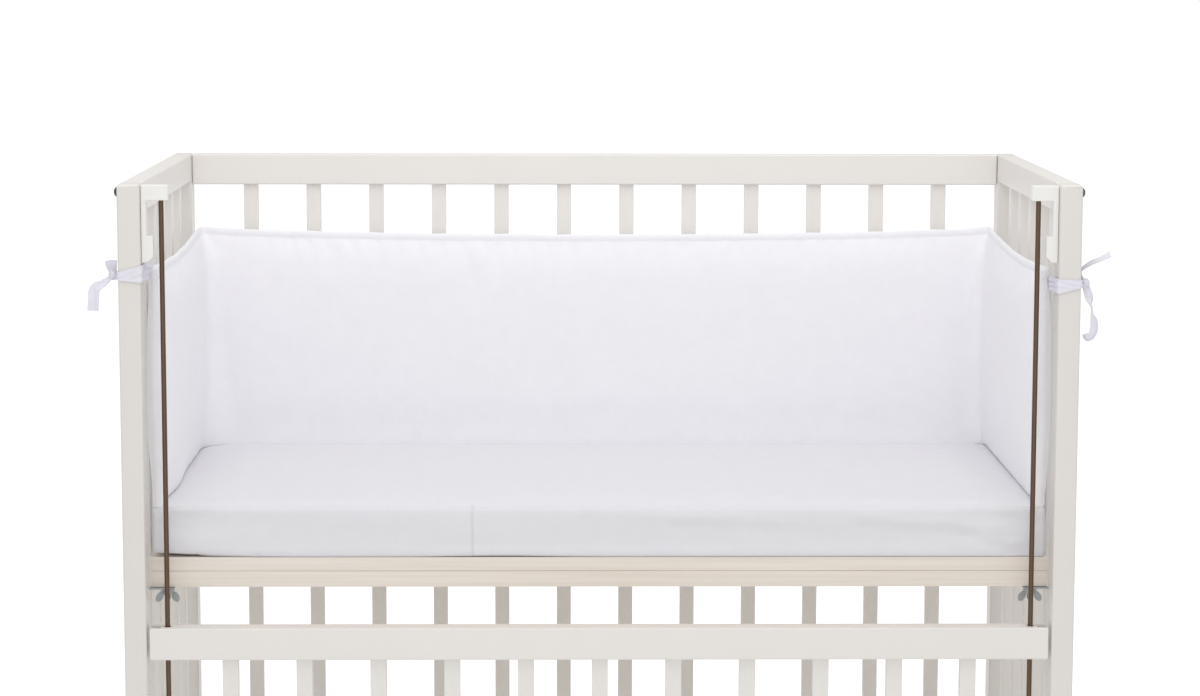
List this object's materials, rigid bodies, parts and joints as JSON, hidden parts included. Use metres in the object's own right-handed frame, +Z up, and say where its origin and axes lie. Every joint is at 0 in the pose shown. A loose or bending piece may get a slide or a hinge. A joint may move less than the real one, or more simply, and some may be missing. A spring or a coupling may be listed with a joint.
{
  "type": "crib bumper in a bedside crib",
  "caption": "White padded crib bumper bent in a U inside a slatted bedside crib, tied to its front posts above a mattress, with the crib's front side lowered on guide rods.",
  "frame": {"origin": "on the floor under the middle of the whole object's box", "axes": "+Z up, +X to the right and +Y away from someone who stands at the open front"},
  "size_m": [1.0043, 0.468, 0.83],
  "materials": {
    "bumper_cotton": "plain woven cotton, matt",
    "mattress_cotton": "plain woven cotton cover, matt",
    "ribbon_cotton": "folded cotton tape, matt",
    "white_paint": "warm white satin paint on wood",
    "bare_wood": "pale bare wood",
    "white_plastic": "moulded, satin",
    "bronze_rod": "bronze brown plated rod",
    "zinc_steel": "zinc plated steel"
  },
  "bodies": {
    "crib": {"back_low_rail": "white_paint", "back_slat_1": "white_paint", "back_slat_10": "white_paint", "back_slat_11": "white_paint", "back_slat_12": "white_paint", "back_slat_2": "white_paint", "back_slat_3": "white_paint", "back_slat_4": "white_paint", "back_slat_5": "white_paint", "back_slat_6": "white_paint", "back_slat_7": "white_paint", "back_slat_8": "white_paint", "back_slat_9": "white_paint", "back_top_rail": "white_paint", "base_back_batten": "bare_wood", "base_clamp_left": "zinc_steel", "base_clamp_right": "zinc_steel", "base_front_batten": "bare_wood", "base_panel": "bare_wood", "bumper": "bumper_cotton", "catch_left": "white_plastic", "catch_right": "white_plastic", "mattress": "mattress_cotton", "post_back_left": "white_paint", "post_back_right": "white_paint", "post_front_left": "white_paint", "post_front_right": "white_paint", "rod_foot_left": "white_plastic", "rod_foot_right": "white_plastic", "rod_left": "bronze_rod", "rod_right": "bronze_rod", "side_low_rail_left": "white_paint", "side_low_rail_right": "white_paint", "side_slat_1_left": "white_paint", "side_slat_1_right": "white_paint", "side_slat_2_left": "white_paint", "side_slat_2_right": "white_paint", "side_slat_3_left": "white_paint", "side_slat_3_right": "white_paint", "side_slat_4_left": "white_paint", "side_slat_4_right": "white_paint", "side_slat_5_left": "white_paint", "side_slat_5_right": "white_paint", "side_top_rail_left": "white_paint", "side_top_rail_right": "white_paint", "tie_left": "ribbon_cotton", "tie_right": "ribbon_cotton"},
    "drop_side": {"drop_low_rail": "white_paint", "drop_slat_1": "white_paint", "drop_slat_10": "white_paint", "drop_slat_11": "white_paint", "drop_slat_2": "white_paint", "drop_slat_3": "white_paint", "drop_slat_4": "white_paint", "drop_slat_5": "white_paint", "drop_slat_6": "white_paint", "drop_slat_7": "white_paint", "drop_slat_8": "white_paint", "drop_slat_9": "white_paint", "drop_top_rail": "white_paint"}
  },
  "joints": [
    {"name": "drop_side_lift", "type": "slide", "parent": "crib", "child": "drop_side", "axis": [0, 0, 1], "range_m": [0, 0.424]}
  ]
}
